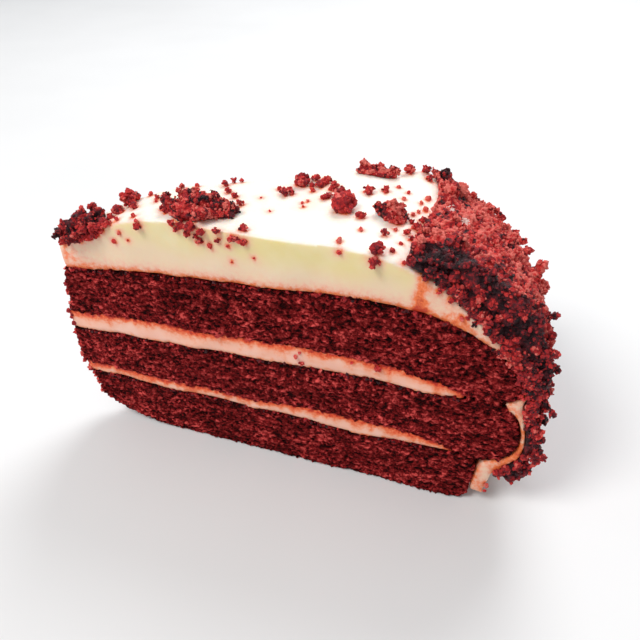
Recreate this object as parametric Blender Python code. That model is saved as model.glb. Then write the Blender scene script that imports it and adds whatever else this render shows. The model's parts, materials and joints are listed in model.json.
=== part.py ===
"""Slice of a three-layer red velvet cake: two fillings, thick frosting, a crumb-coated rim and crumb heaps.

Metres, +Z up, resting on z = 0. The tip of the slice points to -X and the crumbed rim to +X.
The helpers work in millimetres, in a polar frame whose pole is the middle of the whole cake, and a
section is drawn as a foot line and a top line of (radius, height) points with one count.
"""

import math
import random

import bmesh
import bpy
from mathutils import Euler, Matrix, Vector, noise

MM = 0.001
GAP = 0.3

# The cut: a twelfth of the cake, either side of the +X axis
HALF_ANGLE = math.radians(15.0)
ANGLE_STEPS = 6
NEAR_SHARE = 0.1
CUT_RELIEF = 0.55
CUT_GRAIN = 7.0
CUT_SHIFT = 40.0
TIP_RELIEF = 1.6
TIP_GRAIN = 4.0
TIP_SHIFT = 5.5

# Distances from the pole where a section has points
STATIONS = (9, 16, 24, 32, 40, 48, 56, 64, 72, 80, 88, 95)
FILLING_STATIONS = STATIONS + (102, 108, 113)

# Seams between the layers: heights over the plate at these distances from the pole
KEY_RADII = (4, 30, 60, 87, 108, 116)
FILLING_LOWER_BASE = (17.6, 16.7, 17.4, 16.4, 17.6, 17.1)
FILLING_LOWER_DEPTH = (2.9, 2.9, 3.4, 5.1, 2.2, 0.0)
FILLING_UPPER_BASE = (33.8, 34.2, 35.7, 37.2, 36.3, 37.25)
FILLING_UPPER_DEPTH = (5.9, 6.2, 5.9, 5.9, 3.3, 0.0)
FILLING_SWELL = 0.2
CROWN_RADII = (4, 30, 60, 80, 101)
CROWN = (53.0, 56.3, 58.6, 60.0, 59.3)
FROSTING_RADII = (5, 10, 19, 28, 60, 80, 95)
FROSTING_TOP = (60.6, 64.0, 68.6, 71.6, 73.3, 73.3, 71.6)
SEAM_WAVE = 0.9
SEAM_GRAIN = 16.0
SEAM_FADE = (90, 106)
WAVE_SHIFT = 7.3
TOP_WAVE = 0.8
TOP_GRAIN = 19.0
TOP_BAND = (8, 30)

# The underside lifts toward the tip
LIFT = 13.0
LIFT_END = 34.0
LIFT_POWER = 2.7

# Where each layer meets the tip: distance from the pole at its foot and at its top
TIP_SPONGE_BOTTOM = (5.2, 3.4)
TIP_FILLING_LOWER = (3.0, 2.6)
TIP_SPONGE_MIDDLE = (2.3, 1.9)
TIP_FILLING_UPPER = (2.0, 2.2)
TIP_SPONGE_TOP = (2.6, 4.4)
TIP_FROSTING = 4.4

# Rounded outer end of each sponge: outermost radius, height of its belly, then the radius where the
# rounding starts and its squareness, for the foot and for the top
NOSE_BOTTOM = (118.4, 8.0, (114.0, 4.0), (114.0, 4.0))
NOSE_MIDDLE = (127.5, 26.5, (116.5, 2.4), (116.5, 2.4))
NOSE_TOP = (126.0, 42.6, (118.0, 2.2), (101.0, 1.5))
NOSE_STEPS = 5
NOSE_BLUNT = 0.4
RIM_WOBBLE = 1.3
RIM_GRAIN = 15.0
RIM_LOBES = 6.0
RIM_BAND = (97, 122)
RIM_SHIFT = 3.1

# Frosting over the shoulder, measured square to the sponge, at the near cut and at the far cut
SHOULDER_RADII = (95, 101, 106, 111, 116, 121, 126)
SHOULDER_NEAR = (11.7, 9.6, 6.9, 4.6, 2.6, 1.9, 1.7)
SHOULDER_FAR = (12.4, 12.0, 10.6, 8.4, 5.4, 3.0, 1.8)

# Skin of frosting down the rim: its outer radius by height, and where it fills the notches
SKIN_HEIGHTS = (4.5, 8, 13, 17, 21, 26, 31, 34.5, 38, 42, 47)
SKIN_RADII = (122.4, 122.8, 123.2, 126.0, 128.6, 129.2, 128.6, 127.7, 126.7, 127.9, 127.6)
SKIN_NOTCHES = ((122.4, 37.2), (119.9, 16.5))
SKIN_CLEAR = (122.7, 120.6)
SKIN_FOOT = (12.0, 8.0, 4.5)
SKIN_BACK = 118.8
SKIN_GAP = 0.36

# Crumb coat over the rim: its outer line at the near cut and at the far cut, and its foot
COAT_NEAR_RADII = (96.0, 103.0, 111.0, 119.0, 125.2, 129.2, 131.4, 132.4, 131.9, 128.6)
COAT_NEAR_HEIGHTS = (72.6, 74.0, 72.8, 68.8, 62.8, 55.2, 46.2, 34.0, 21.0, 9.0)
COAT_FAR_RADII = (106.5, 111.0, 116.0, 121.0, 126.0, 130.0, 131.8, 132.4, 131.9, 128.6)
COAT_FAR_HEIGHTS = (72.0, 69.5, 65.6, 61.8, 57.6, 52.6, 45.2, 34.0, 21.0, 9.0)
COAT_LINE_STEPS = 27
COAT_ANGLE_STEPS = 13
COAT_ARC_STEPS = 24
COAT_BUMPS = (-0.3, 1.0)
COAT_CRUMBS = 112
COAT_SEED = 22
COAT_CRUMB_SIZES = (1.4, 2.8)
COAT_LIFT = 0.55
COAT_SPACING = 0.85
COAT_START = 0.5
SHARE_STEP = 0.01
ROUGH_SEED = 8

# Crumbs: round ones above this radius, square ones below it, pushed in and out at their corners
ROUND_CRUMB = 1.9
SQUARE_CRUMB = 1.25
CRUMB_JITTER = (0.84, 1.1)
CRUMB_REACH = 1.15
MOST_TRIES = 20000

# Crumbs on the frosting: distance along the slice, distance across it, radius
LARGE_CRUMBS = (
    (23.8, 4.4, 2.1), (21.6, 0.6, 1.7), (56.0, -14.0, 1.4), (50.0, 11.6, 1.3), (36.5, 8.2, 1.3),
    (63.1, 6.7, 1.5), (67.7, 10.6, 2.3), (71.2, 13.6, 1.5), (74.6, 11.4, 1.6), (76.9, 8.8, 1.5),
    (77.7, 4.8, 1.8), (73.6, 2.2, 1.5), (78.9, -2.9, 3.1), (83.0, -5.6, 1.4), (78.2, -18.6, 1.4),
    (86.4, -21.2, 2.0), (88.5, -13.8, 1.4), (84.4, 6.9, 1.6), (89.9, 9.6, 1.8), (96.6, 23.6, 1.8),
    (101.2, 25.0, 1.7),
)
SMALL_CRUMBS = 22
SMALL_CRUMB_SIZES = (0.8, 1.2)
FROSTING_SEED = 31
SCATTER_RADII = (22.0, 94.0)
SCATTER_SHARE = 0.9
CRUMB_SPACING = 0.5
CRUMB_SINK = 0.3

# Heaps on the frosting: middle, half length and half width, height, loose crumbs, their sizes, seed
HEAP_TIP = ((12.8, -2.2), (6.4, 4.6), 3.0, 15, (1.2, 2.1), 8)
HEAP_FRONT = ((44.2, -4.4), (8.4, 6.8), 4.4, 18, (1.2, 2.4), 2)
HEAP_RIGHT = ((90.6, -3.8), (4.0, 4.0), 3.8, 9, (1.1, 1.9), 3)
HEAP_FAR = ((87.8, 19.8), (5.6, 2.4), 3.4, 8, (1.1, 1.9), 9)
HEAP_RINGS = 3
HEAP_SIDES = 12
HEAP_EDGE = 0.9
HEAP_RAGGED = 0.32
HEAP_GRAIN = 3.0
HEAP_SHIFT = 3.7
HEAP_APART = 2.6

# Edges sharper than this many degrees are shaded sharp
CREAM_SMOOTH = 40
CRUMB_SMOOTH = 8

COLOURS = {
    "sponge_crumb": ("#5A141B", 0.85),
    "filling_cream": ("#EBC3AE", 0.45),
    "frosting_cream": ("#F2EAD3", 0.45),
    "cake_crumb": ("#6B1A1F", 0.8),
}


def curve(keys, values, x):
    """Smooth curve through the values at the keys, level beyond them."""
    if x <= keys[0]:
        return values[0]
    if x >= keys[-1]:
        return values[-1]
    n = max(i for i in range(len(keys) - 1) if keys[i] <= x)
    slopes = [(values[i + 1] - values[i]) / (keys[i + 1] - keys[i]) for i in range(len(keys) - 1)]
    start = slopes[n] if n == 0 else (slopes[n - 1] + slopes[n]) / 2
    end = slopes[n] if n == len(slopes) - 1 else (slopes[n] + slopes[n + 1]) / 2
    width = keys[n + 1] - keys[n]
    t = (x - keys[n]) / width
    bend = t * t * (3 - 2 * t)
    rise = width * (start * t * (1 - t) ** 2 - end * t * t * (1 - t))
    return values[n] * (1 - bend) + values[n + 1] * bend + rise


def ease(low, high, x):
    """0 below low, 1 above high, smooth between."""
    t = min(1.0, max(0.0, (x - low) / (high - low)))
    return t * t * (3 - 2 * t)


def mix(pair, angle):
    """Between the value at the near cut and the value at the far cut."""
    t = ease(NEAR_SHARE, 1.0, (angle + HALF_ANGLE) / (2 * HALF_ANGLE))
    return pair[0] * (1 - t) + pair[1] * t


def uneven(r, angle, grain, seed):
    return noise.noise(Vector((r / grain, r * math.sin(angle) / grain, WAVE_SHIFT * seed)))


def wave(r, angle, seed):
    """Unevenness of a seam, fading out before the fillings end."""
    return SEAM_WAVE * uneven(r, angle, SEAM_GRAIN, seed) * (1 - ease(*SEAM_FADE, r))


def filling_lower_base(r, angle):
    return curve(KEY_RADII, FILLING_LOWER_BASE, r) + wave(r, angle, 1)


def filling_lower_top(r, angle):
    return filling_lower_base(r, angle) + max(0.0, curve(KEY_RADII, FILLING_LOWER_DEPTH, r))


def filling_upper_base(r, angle):
    return curve(KEY_RADII, FILLING_UPPER_BASE, r) + wave(r, angle, 2)


def filling_upper_top(r, angle):
    depth = max(0.0, curve(KEY_RADII, FILLING_UPPER_DEPTH, r))
    return filling_upper_base(r, angle) + depth * (1 + FILLING_SWELL * wave(r, angle, 3))


def sponge_crown(r, angle):
    return curve(CROWN_RADII, CROWN, r) + wave(r, angle, 4)


def frosting_top(r, angle):
    level = curve(FROSTING_RADII, FROSTING_TOP, r)
    return level + TOP_WAVE * uneven(r, angle, TOP_GRAIN, 6) * ease(*TOP_BAND, r)


def underside(r, angle):
    return LIFT * max(0.0, (LIFT_END - r) / LIFT_END) ** LIFT_POWER


def nose(shape, end, height, steps):
    """Points of the rounding of a sponge's foot (end 0) or top (end 1), out to its belly."""
    outermost, belly, (start, square) = shape[0], shape[1], shape[2 + end]
    points = []
    for step in range(1, steps + 1):
        turn = math.radians(90.0) * (1 - step / (steps + NOSE_BLUNT))
        reach = math.cos(turn) ** (2 / square)
        climb = math.sin(turn) ** (2 / square)
        points.append((start + (outermost - start) * reach, belly + (height - belly) * climb))
    return points


def lines_of_sponge(angle, low, high, tip, shape):
    """Foot line and top line of a sponge, from the tip to the belly of its outer end."""
    feet = [r for r in FILLING_STATIONS if r < shape[2][0]] + [shape[2][0]]
    tops = [r for r in FILLING_STATIONS if r < shape[3][0] - 1] + [shape[3][0]]
    foot = [(r, low(r, angle)) for r in [tip[0]] + feet]
    top = [(r, high(r, angle)) for r in [tip[1]] + tops]
    foot += nose(shape, 0, foot[-1][1], NOSE_STEPS)
    top += nose(shape, 1, top[-1][1], len(foot) - len(top))
    return foot, top


def lines_of_filling(angle, low, high, tip):
    foot = [(r, low(r, angle)) for r in (tip[0],) + FILLING_STATIONS]
    top = [(r, high(r, angle)) for r in (tip[1],) + FILLING_STATIONS]
    return foot, top


def raised(surface, by):
    """The same surface moved up or down."""
    def moved(r, angle):
        return surface(r, angle) + by
    return moved


def sponge_bottom_lines(angle):
    high = raised(filling_lower_base, -GAP / 2)
    return lines_of_sponge(angle, underside, high, TIP_SPONGE_BOTTOM, NOSE_BOTTOM)


def filling_lower_lines(angle):
    low = raised(filling_lower_base, GAP / 2)
    high = raised(filling_lower_top, -GAP / 2)
    return lines_of_filling(angle, low, high, TIP_FILLING_LOWER)


def sponge_middle_lines(angle):
    low = raised(filling_lower_top, GAP / 2)
    high = raised(filling_upper_base, -GAP / 2)
    return lines_of_sponge(angle, low, high, TIP_SPONGE_MIDDLE, NOSE_MIDDLE)


def filling_upper_lines(angle):
    low = raised(filling_upper_base, GAP / 2)
    high = raised(filling_upper_top, -GAP / 2)
    return lines_of_filling(angle, low, high, TIP_FILLING_UPPER)


def sponge_top_lines(angle):
    low = raised(filling_upper_top, GAP / 2)
    high = raised(sponge_crown, -GAP / 2)
    return lines_of_sponge(angle, low, high, TIP_SPONGE_TOP, NOSE_TOP)


def normals(line):
    """Unit vectors square to a line that runs outward and then down."""
    found = []
    for n in range(len(line)):
        before, after = line[max(0, n - 1)], line[min(len(line) - 1, n + 1)]
        run, rise = after[0] - before[0], after[1] - before[1]
        length = math.hypot(run, rise)
        found.append((-rise / length, run / length))
    return found


def frosting_lines(angle):
    """Back line along the sponges and front line of the slab, its shoulder and the skin of the rim."""
    crown = sponge_top_lines(angle)[1]
    back, front = [], []
    for (r, z), (out, up) in zip(crown, normals(crown)):
        if r <= FROSTING_RADII[-1]:
            r = max(r, TIP_FROSTING)
            back.append((r, z + GAP))
            front.append((r, frosting_top(r, angle)))
            continue
        near, far = curve(SHOULDER_RADII, SHOULDER_NEAR, r), curve(SHOULDER_RADII, SHOULDER_FAR, r)
        depth = GAP + mix((near, far), angle)
        back.append((r + GAP * out, z + GAP * up))
        front.append((r + depth * out, z + depth * up))
    foot_top = sponge_top_lines(angle)[0][::-1]
    foot_middle, top_middle = sponge_middle_lines(angle)
    rim = [p for p in foot_top[:NOSE_STEPS] if p[0] > SKIN_CLEAR[0]]
    rim.append(SKIN_NOTCHES[0])
    rim += [p for p in top_middle[-NOSE_STEPS:] if p[0] > SKIN_CLEAR[0]]
    rim += [p for p in foot_middle[::-1][:NOSE_STEPS] if p[0] > SKIN_CLEAR[1]]
    rim.append(SKIN_NOTCHES[1])
    for r, z in rim:
        clear = 0.0 if (r, z) in SKIN_NOTCHES else SKIN_GAP
        back.append((r + clear, z))
        front.append((curve(SKIN_HEIGHTS, SKIN_RADII, z), z))
    for z in SKIN_FOOT:
        back.append((SKIN_BACK, z))
        front.append((curve(SKIN_HEIGHTS, SKIN_RADII, z), z))
    return back, front


def along(line, share):
    """The point at this share of a line's length."""
    lengths = [math.dist(a, b) for a, b in zip(line, line[1:])]
    left = share * sum(lengths)
    for (a, b), length in zip(zip(line, line[1:]), lengths):
        if left <= length:
            t = left / length
            return (a[0] + (b[0] - a[0]) * t, a[1] + (b[1] - a[1]) * t)
        left -= length
    return line[-1]


def clearance(line, point):
    """Distance in the section from a point to a line."""
    nearest = math.inf
    for a, b in zip(line, line[1:]):
        step = (b[0] - a[0], b[1] - a[1])
        t = ((point[0] - a[0]) * step[0] + (point[1] - a[1]) * step[1]) / (step[0] ** 2 + step[1] ** 2)
        t = min(1.0, max(0.0, t))
        nearest = min(nearest, math.dist(point, (a[0] + step[0] * t, a[1] + step[1] * t)))
    return nearest


def coat_surface(angle):
    """Outer line of the crumb coat, from the frosting's top over the shoulder to the foot of the rim."""
    keys = range(len(COAT_NEAR_RADII))
    line = []
    for step in range(COAT_LINE_STEPS + 1):
        key = keys[-1] * step / COAT_LINE_STEPS
        near = curve(keys, COAT_NEAR_RADII, key), curve(keys, COAT_NEAR_HEIGHTS, key)
        far = curve(keys, COAT_FAR_RADII, key), curve(keys, COAT_FAR_HEIGHTS, key)
        line.append(tuple(mix(pair, angle) for pair in zip(near, far)))
    return line


def coat_lines(angle):
    """Back line on the frosting and front line of the crumb coat's core."""
    front = frosting_lines(angle)[1]
    outer = coat_surface(angle)
    start, foot = outer[0][0], outer[-1][1]
    lifted = [
        (r + SKIN_GAP * out, z + SKIN_GAP * up)
        for (r, z), (out, up) in zip(front, normals(front))
        if r > start + COAT_START and z > foot
    ]
    back = [(start, outline_height(start, angle) + SKIN_GAP)] + lifted
    shares = [n / COAT_ARC_STEPS for n in range(COAT_ARC_STEPS + 1)]
    return [along(back, share) for share in shares], [along(outer, share) for share in shares]


def outline_height(r, angle):
    """Height of the frosting's upper side at this distance from the pole."""
    front = frosting_lines(angle)[1]
    if r <= front[0][0]:
        return front[0][1]
    for a, b in zip(front, front[1:]):
        if a[0] <= r <= b[0]:
            return a[1] + (b[1] - a[1]) * (r - a[0]) / (b[0] - a[0])
    return front[-1][1]


def place(r, z, angle):
    """Point in space of a section point: the rim wobbles a little round the cake."""
    spot = Vector((angle * RIM_LOBES, z / RIM_GRAIN, RIM_SHIFT))
    r += RIM_WOBBLE * noise.noise(spot) * ease(*RIM_BAND, r)
    return Vector((r * math.cos(angle), r * math.sin(angle), z))


def on_cut(point, side):
    """The point pushed a little in or out of the cut, which isn't quite flat."""
    amount = CUT_RELIEF * noise.noise(Vector((point.x, point.z, CUT_SHIFT * side)) / CUT_GRAIN)
    square = Vector((-math.sin(side * HALF_ANGLE), math.cos(side * HALF_ANGLE), 0.0))
    return point + square * amount * side


def on_tip(point):
    """The tip crumbles unevenly."""
    push = TIP_RELIEF * noise.noise((point + Vector((0, 0, TIP_SHIFT))) / TIP_GRAIN)
    return point + Vector((push, 0, 0))


def shell_quads(counts):
    """Corner indices of the quads that wrap a grid with this many cells each way."""
    for axis in range(3):
        u, v = [n for n in range(3) if n != axis]
        for end in (0, counts[axis]):
            for a in range(counts[u]):
                for b in range(counts[v]):
                    quad = []
                    for da, db in ((0, 0), (1, 0), (1, 1), (0, 1)):
                        corner = [0, 0, 0]
                        corner[axis], corner[u], corner[v] = end, a + da, b + db
                        quad.append(tuple(corner))
                    yield quad


def wedge(lines, angle_steps, rows, has_tip=True):
    """Closed wedge between a foot line and a top line that may change with the angle."""
    bm = bmesh.new()
    angles = [HALF_ANGLE * (2 * n / angle_steps - 1) for n in range(angle_steps + 1)]
    sections = [lines(angle) for angle in angles]
    counts = (angle_steps, len(sections[0][0]) - 1, rows)
    corners = {}

    def corner(index):
        if index not in corners:
            i, j, k = index
            foot, top = sections[i][0][j], sections[i][1][j]
            t = k / rows
            point = place(foot[0] + (top[0] - foot[0]) * t, foot[1] + (top[1] - foot[1]) * t, angles[i])
            if i in (0, angle_steps):
                point = on_cut(point, -1 if i == 0 else 1)
            if j == 0 and has_tip:
                point = on_tip(point)
            corners[index] = bm.verts.new(point)
        return corners[index]

    for quad in shell_quads(counts):
        bm.faces.new([corner(index) for index in quad])
    bmesh.ops.recalc_face_normals(bm, faces=bm.faces)
    return bm


def add_object(name, bm, material, smooth_below):
    """A named object from a mesh in millimetres, smooth except at edges sharper than this many degrees."""
    for face in bm.faces:
        face.smooth = True
    for edge in bm.edges:
        edge.smooth = edge.calc_face_angle() < math.radians(smooth_below)
    bmesh.ops.transform(bm, matrix=Matrix.Scale(MM, 4), verts=bm.verts)
    mesh = bpy.data.meshes.new(name)
    bm.to_mesh(mesh)
    bm.free()
    obj = bpy.data.objects.new(name, mesh)
    bpy.context.scene.collection.objects.link(obj)
    mesh.materials.append(material)
    return obj


def linear(hex_colour):
    """sRGB hex colour as linear RGBA."""
    parts = [int(hex_colour[n:n + 2], 16) / 255 for n in (1, 3, 5)]
    return [p / 12.92 if p <= 0.04045 else ((p + 0.055) / 1.055) ** 2.4 for p in parts] + [1.0]


def make_material(name):
    hex_colour, roughness = COLOURS[name]
    material = bpy.data.materials.new(name)
    material.use_nodes = True
    shader = material.node_tree.nodes["Principled BSDF"]
    shader.inputs["Base Color"].default_value = linear(hex_colour)
    shader.inputs["Roughness"].default_value = roughness
    shader.inputs["Metallic"].default_value = 0.0
    return material


def make_crumb(centre, radius, rng, collection):
    """A rough lump, squeezed and turned at random."""
    bm = bmesh.new()
    if radius > ROUND_CRUMB:
        bmesh.ops.create_icosphere(bm, subdivisions=1, radius=radius)
    else:
        bmesh.ops.create_cube(bm, size=radius * SQUARE_CRUMB)
    for vert in bm.verts:
        vert.co *= rng.uniform(*CRUMB_JITTER)
    turn = Euler([rng.uniform(0, math.tau) for _ in range(3)]).to_matrix().to_4x4()
    bmesh.ops.transform(bm, matrix=Matrix.Translation(centre) @ turn, verts=bm.verts)
    bmesh.ops.transform(bm, matrix=Matrix.Scale(MM, 4), verts=bm.verts)
    mesh = bpy.data.meshes.new("crumb")
    bm.to_mesh(mesh)
    bm.free()
    collection.objects.link(bpy.data.objects.new("crumb", mesh))


def keep_largest(mesh):
    """Drops loose scraps and fills sealed hollows: only the largest closed surface stays."""
    bm = bmesh.new()
    bm.from_mesh(mesh)
    left = set(bm.verts)
    islands = []
    while left:
        stack = [left.pop()]
        island = set(stack)
        while stack:
            for edge in stack.pop().link_edges:
                for vert in edge.verts:
                    if vert in left:
                        left.discard(vert)
                        island.add(vert)
                        stack.append(vert)
        islands.append(island)
    islands.sort(key=len)
    bmesh.ops.delete(bm, geom=[v for island in islands[:-1] for v in island], context="VERTS")
    bm.to_mesh(mesh)
    bm.free()


def fuse(obj, crumbs, seed):
    """Joins (centre, radius) crumbs to the object by one union."""
    rng = random.Random(seed)
    collection = bpy.data.collections.new("crumbs")
    bpy.context.scene.collection.children.link(collection)
    for centre, radius in crumbs:
        make_crumb(centre, radius, rng, collection)
    union = obj.modifiers.new("union", "BOOLEAN")
    union.operation = "UNION"
    union.operand_type = "COLLECTION"
    union.collection = collection
    union.solver = "EXACT"
    bpy.context.view_layer.update()
    joined = bpy.data.meshes.new_from_object(obj.evaluated_get(bpy.context.evaluated_depsgraph_get()))
    material = obj.data.materials[0]
    obj.modifiers.clear()
    joined.name = obj.name
    joined.materials.clear()
    joined.materials.append(material)
    obj.data = joined
    for crumb in list(collection.objects):
        bpy.data.objects.remove(crumb)
    bpy.data.collections.remove(collection)
    keep_largest(joined)


def polar(x, y):
    return math.hypot(x, y), math.atan2(y, x)


def on_frosting(x, y, radius):
    """Centre of a crumb that is sunk a little into the frosting's top."""
    r, angle = polar(x, y)
    return Vector((x, y, outline_height(r, angle) + radius * (1 - CRUMB_SINK)))


def in_heap(x, y, radius):
    for middle, half, *_rest in (HEAP_TIP, HEAP_FRONT, HEAP_RIGHT, HEAP_FAR):
        reach = [h + radius + HEAP_APART for h in half]
        if ((x - middle[0]) / reach[0]) ** 2 + ((y - middle[1]) / reach[1]) ** 2 < 1:
            return True
    return False


def frosting_crumbs():
    """The single crumbs on the frosting's top."""
    rng = random.Random(FROSTING_SEED)
    found = [(x, y, radius) for x, y, radius in LARGE_CRUMBS if not in_heap(x, y, radius)]
    tries = 0
    while len(found) < len(LARGE_CRUMBS) + SMALL_CRUMBS and tries < MOST_TRIES:
        tries += 1
        r = rng.uniform(*SCATTER_RADII)
        angle = rng.uniform(-1, 1) * HALF_ANGLE * SCATTER_SHARE
        radius = rng.uniform(*SMALL_CRUMB_SIZES)
        x, y = r * math.cos(angle), r * math.sin(angle)
        apart = all(math.dist((x, y), f[:2]) > radius + f[2] + CRUMB_SPACING for f in found)
        if apart and not in_heap(x, y, radius):
            found.append((x, y, radius))
    return [(on_frosting(x, y, radius), radius) for x, y, radius in found]


def coat_crumbs():
    """Lumps over the crumb coat, spread evenly with seeded draws."""
    rng = random.Random(COAT_SEED)
    found = []
    tries = 0
    while len(found) < COAT_CRUMBS and tries < MOST_TRIES:
        tries += 1
        radius = rng.uniform(*COAT_CRUMB_SIZES)
        angle = HALF_ANGLE * rng.uniform(-1, 1)
        surface = coat_surface(angle)
        share = rng.random()
        r, z = along(surface, share)
        out, up = normals([along(surface, share - SHARE_STEP), along(surface, share + SHARE_STEP)])[0]
        lift = CRUMB_REACH * radius + SKIN_GAP - clearance(frosting_lines(angle)[1], (r, z))
        if lift > COAT_LIFT * radius:
            continue
        lift = max(0.0, lift)
        point = place(r + out * lift, z + up * lift, angle)
        if all((point - f[0]).length > COAT_SPACING * (radius + f[1]) for f in found):
            found.append((point, radius))
    return found


def heap_ring(bm, heap, share, number):
    """Ring of (ground, surface) vertices at this share of a heap's spread."""
    middle, half, height = heap[:3]
    ring = []
    for side in range(HEAP_SIDES):
        turn = math.tau * side / HEAP_SIDES
        lean = noise.noise(Vector((math.cos(turn), math.sin(turn), HEAP_SHIFT * number)))
        reach = share * (1 + HEAP_RAGGED * lean)
        x = middle[0] + half[0] * reach * math.cos(turn)
        y = middle[1] + half[1] * reach * math.sin(turn)
        ground = outline_height(*polar(x, y)) + SKIN_GAP
        bump = 1 + HEAP_RAGGED * noise.noise(Vector((x, y, number)) / HEAP_GRAIN)
        dome = max(HEAP_EDGE, height * (1 - share ** 2) * bump)
        ring.append((bm.verts.new((x, y, ground)), bm.verts.new((x, y, ground + dome))))
    return ring


def heap_core(heap, number):
    """Low mound that follows the frosting under it, with an uneven outline."""
    bm = bmesh.new()
    rings = [heap_ring(bm, heap, (n + 1) / HEAP_RINGS, number) for n in range(HEAP_RINGS)]
    middle, height = heap[0], heap[2]
    ground = outline_height(*polar(*middle)) + SKIN_GAP
    peak = (bm.verts.new((*middle, ground)), bm.verts.new((*middle, ground + height)))
    for side in range(HEAP_SIDES):
        turned = (side + 1) % HEAP_SIDES
        for level in (0, 1):
            bm.faces.new((peak[level], rings[0][side][level], rings[0][turned][level]))
            for inner, outer in zip(rings, rings[1:]):
                corners = (inner[side], outer[side], outer[turned], inner[turned])
                bm.faces.new([corner[level] for corner in corners])
        here, there = rings[-1][side], rings[-1][turned]
        bm.faces.new((here[0], there[0], there[1], here[1]))
    bmesh.ops.recalc_face_normals(bm, faces=bm.faces)
    return bm


def heap_crumbs(heap):
    """Loose crumbs over a heap's core, clear of the frosting."""
    middle, half, height, count, sizes, seed = heap
    rng = random.Random(seed)
    found = []
    for _ in range(count):
        share = math.sqrt(rng.uniform(0.0, 1.0))
        turn = rng.uniform(0, math.tau)
        radius = rng.uniform(*sizes)
        x = middle[0] + half[0] * share * math.cos(turn)
        y = middle[1] + half[1] * share * math.sin(turn)
        ground = max(outline_height(*polar(x + dx, y)) for dx in (-radius, 0.0, radius))
        rise = max(SKIN_GAP + CRUMB_REACH * radius, height * (1 - share ** 2))
        found.append((Vector((x, y, ground + rise)), radius))
    return found


def build_layers(materials):
    for name, lines in (
        ("sponge_bottom", sponge_bottom_lines),
        ("sponge_middle", sponge_middle_lines),
        ("sponge_top", sponge_top_lines),
    ):
        add_object(name, wedge(lines, ANGLE_STEPS, 3), materials["sponge_crumb"], CREAM_SMOOTH)
    for name, lines in (("filling_lower", filling_lower_lines), ("filling_upper", filling_upper_lines)):
        add_object(name, wedge(lines, ANGLE_STEPS, 1), materials["filling_cream"], CREAM_SMOOTH)


def build_frosting(materials):
    bm = wedge(frosting_lines, ANGLE_STEPS, 1)
    frosting = add_object("frosting", bm, materials["frosting_cream"], CREAM_SMOOTH)
    fuse(frosting, frosting_crumbs(), FROSTING_SEED)


def build_coat(materials):
    bm = wedge(coat_lines, COAT_ANGLE_STEPS, 1, has_tip=False)
    rough = random.Random(ROUGH_SEED)
    for vert in bm.verts:
        r, angle = polar(vert.co.x, vert.co.y)
        outer = min(math.dist((r, vert.co.z), p) for p in coat_surface(angle))
        inner = min(math.dist((r, vert.co.z), p) for p in coat_lines(angle)[0])
        if outer < inner:
            vert.co += vert.normal * rough.uniform(*COAT_BUMPS)
    coat = add_object("crumb_coat", bm, materials["cake_crumb"], CRUMB_SMOOTH)
    fuse(coat, coat_crumbs(), COAT_SEED)


def build_heaps(materials):
    heaps = (
        ("crumb_heap_tip", HEAP_TIP),
        ("crumb_heap_front", HEAP_FRONT),
        ("crumb_heap_right", HEAP_RIGHT),
        ("crumb_heap_far", HEAP_FAR),
    )
    for number, (name, heap) in enumerate(heaps, 1):
        core = add_object(name, heap_core(heap, number), materials["cake_crumb"], CRUMB_SMOOTH)
        fuse(core, heap_crumbs(heap), heap[-1])


def centre_all():
    """Moves everything so that the middle of the bounding box's underside is the origin."""
    points = [v.co for obj in bpy.data.objects for v in obj.data.vertices]
    low = [min(p[n] for p in points) for n in range(3)]
    high = [max(p[n] for p in points) for n in range(3)]
    shift = Matrix.Translation((-(low[0] + high[0]) / 2, -(low[1] + high[1]) / 2, -low[2]))
    for obj in bpy.data.objects:
        obj.data.transform(shift)


def main():
    for obj in list(bpy.data.objects):
        bpy.data.objects.remove(obj)
    materials = {name: make_material(name) for name in COLOURS}
    build_layers(materials)
    build_frosting(materials)
    build_coat(materials)
    build_heaps(materials)
    centre_all()


main()
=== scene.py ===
"""Looks of a slice of three-layer red velvet cake: porous sponge, stained cream, thick frosting, crumbs.

Each solid of the frame is replaced by a finer piece of the same form. Lengths in the functions are in
millimetres and are scaled to metres when a piece is finished.
"""

import json
import math
import random

import bmesh
import bpy
import numpy as np
from mathutils import Matrix, Vector, noise
from mathutils.bvhtree import BVHTree
from mathutils.kdtree import KDTree

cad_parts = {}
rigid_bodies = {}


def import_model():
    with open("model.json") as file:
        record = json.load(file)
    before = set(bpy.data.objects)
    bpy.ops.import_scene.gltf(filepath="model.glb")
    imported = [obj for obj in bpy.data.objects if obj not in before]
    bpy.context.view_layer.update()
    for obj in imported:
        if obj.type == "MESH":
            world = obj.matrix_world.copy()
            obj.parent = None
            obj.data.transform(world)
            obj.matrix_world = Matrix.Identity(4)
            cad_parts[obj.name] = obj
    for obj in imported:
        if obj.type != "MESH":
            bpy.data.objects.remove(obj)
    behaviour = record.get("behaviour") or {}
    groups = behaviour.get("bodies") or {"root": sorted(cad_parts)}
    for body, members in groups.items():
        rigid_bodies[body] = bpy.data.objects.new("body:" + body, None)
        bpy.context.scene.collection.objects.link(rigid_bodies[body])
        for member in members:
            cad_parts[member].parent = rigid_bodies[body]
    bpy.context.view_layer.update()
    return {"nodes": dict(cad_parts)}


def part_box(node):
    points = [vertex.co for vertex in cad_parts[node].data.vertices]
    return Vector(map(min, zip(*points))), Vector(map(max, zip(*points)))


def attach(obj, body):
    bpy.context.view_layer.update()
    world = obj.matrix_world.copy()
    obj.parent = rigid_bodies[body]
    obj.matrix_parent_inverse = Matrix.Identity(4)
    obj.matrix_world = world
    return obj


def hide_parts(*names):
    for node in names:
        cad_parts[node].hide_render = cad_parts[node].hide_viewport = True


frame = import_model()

MM = 0.001
DOWN = Vector((0, 0, -1))

# The middle of the whole cake, and half the angle of the slice
POLE = Vector((-67.953, -0.228, 0.0))
HALF_ANGLE = math.radians(15.0)

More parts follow.
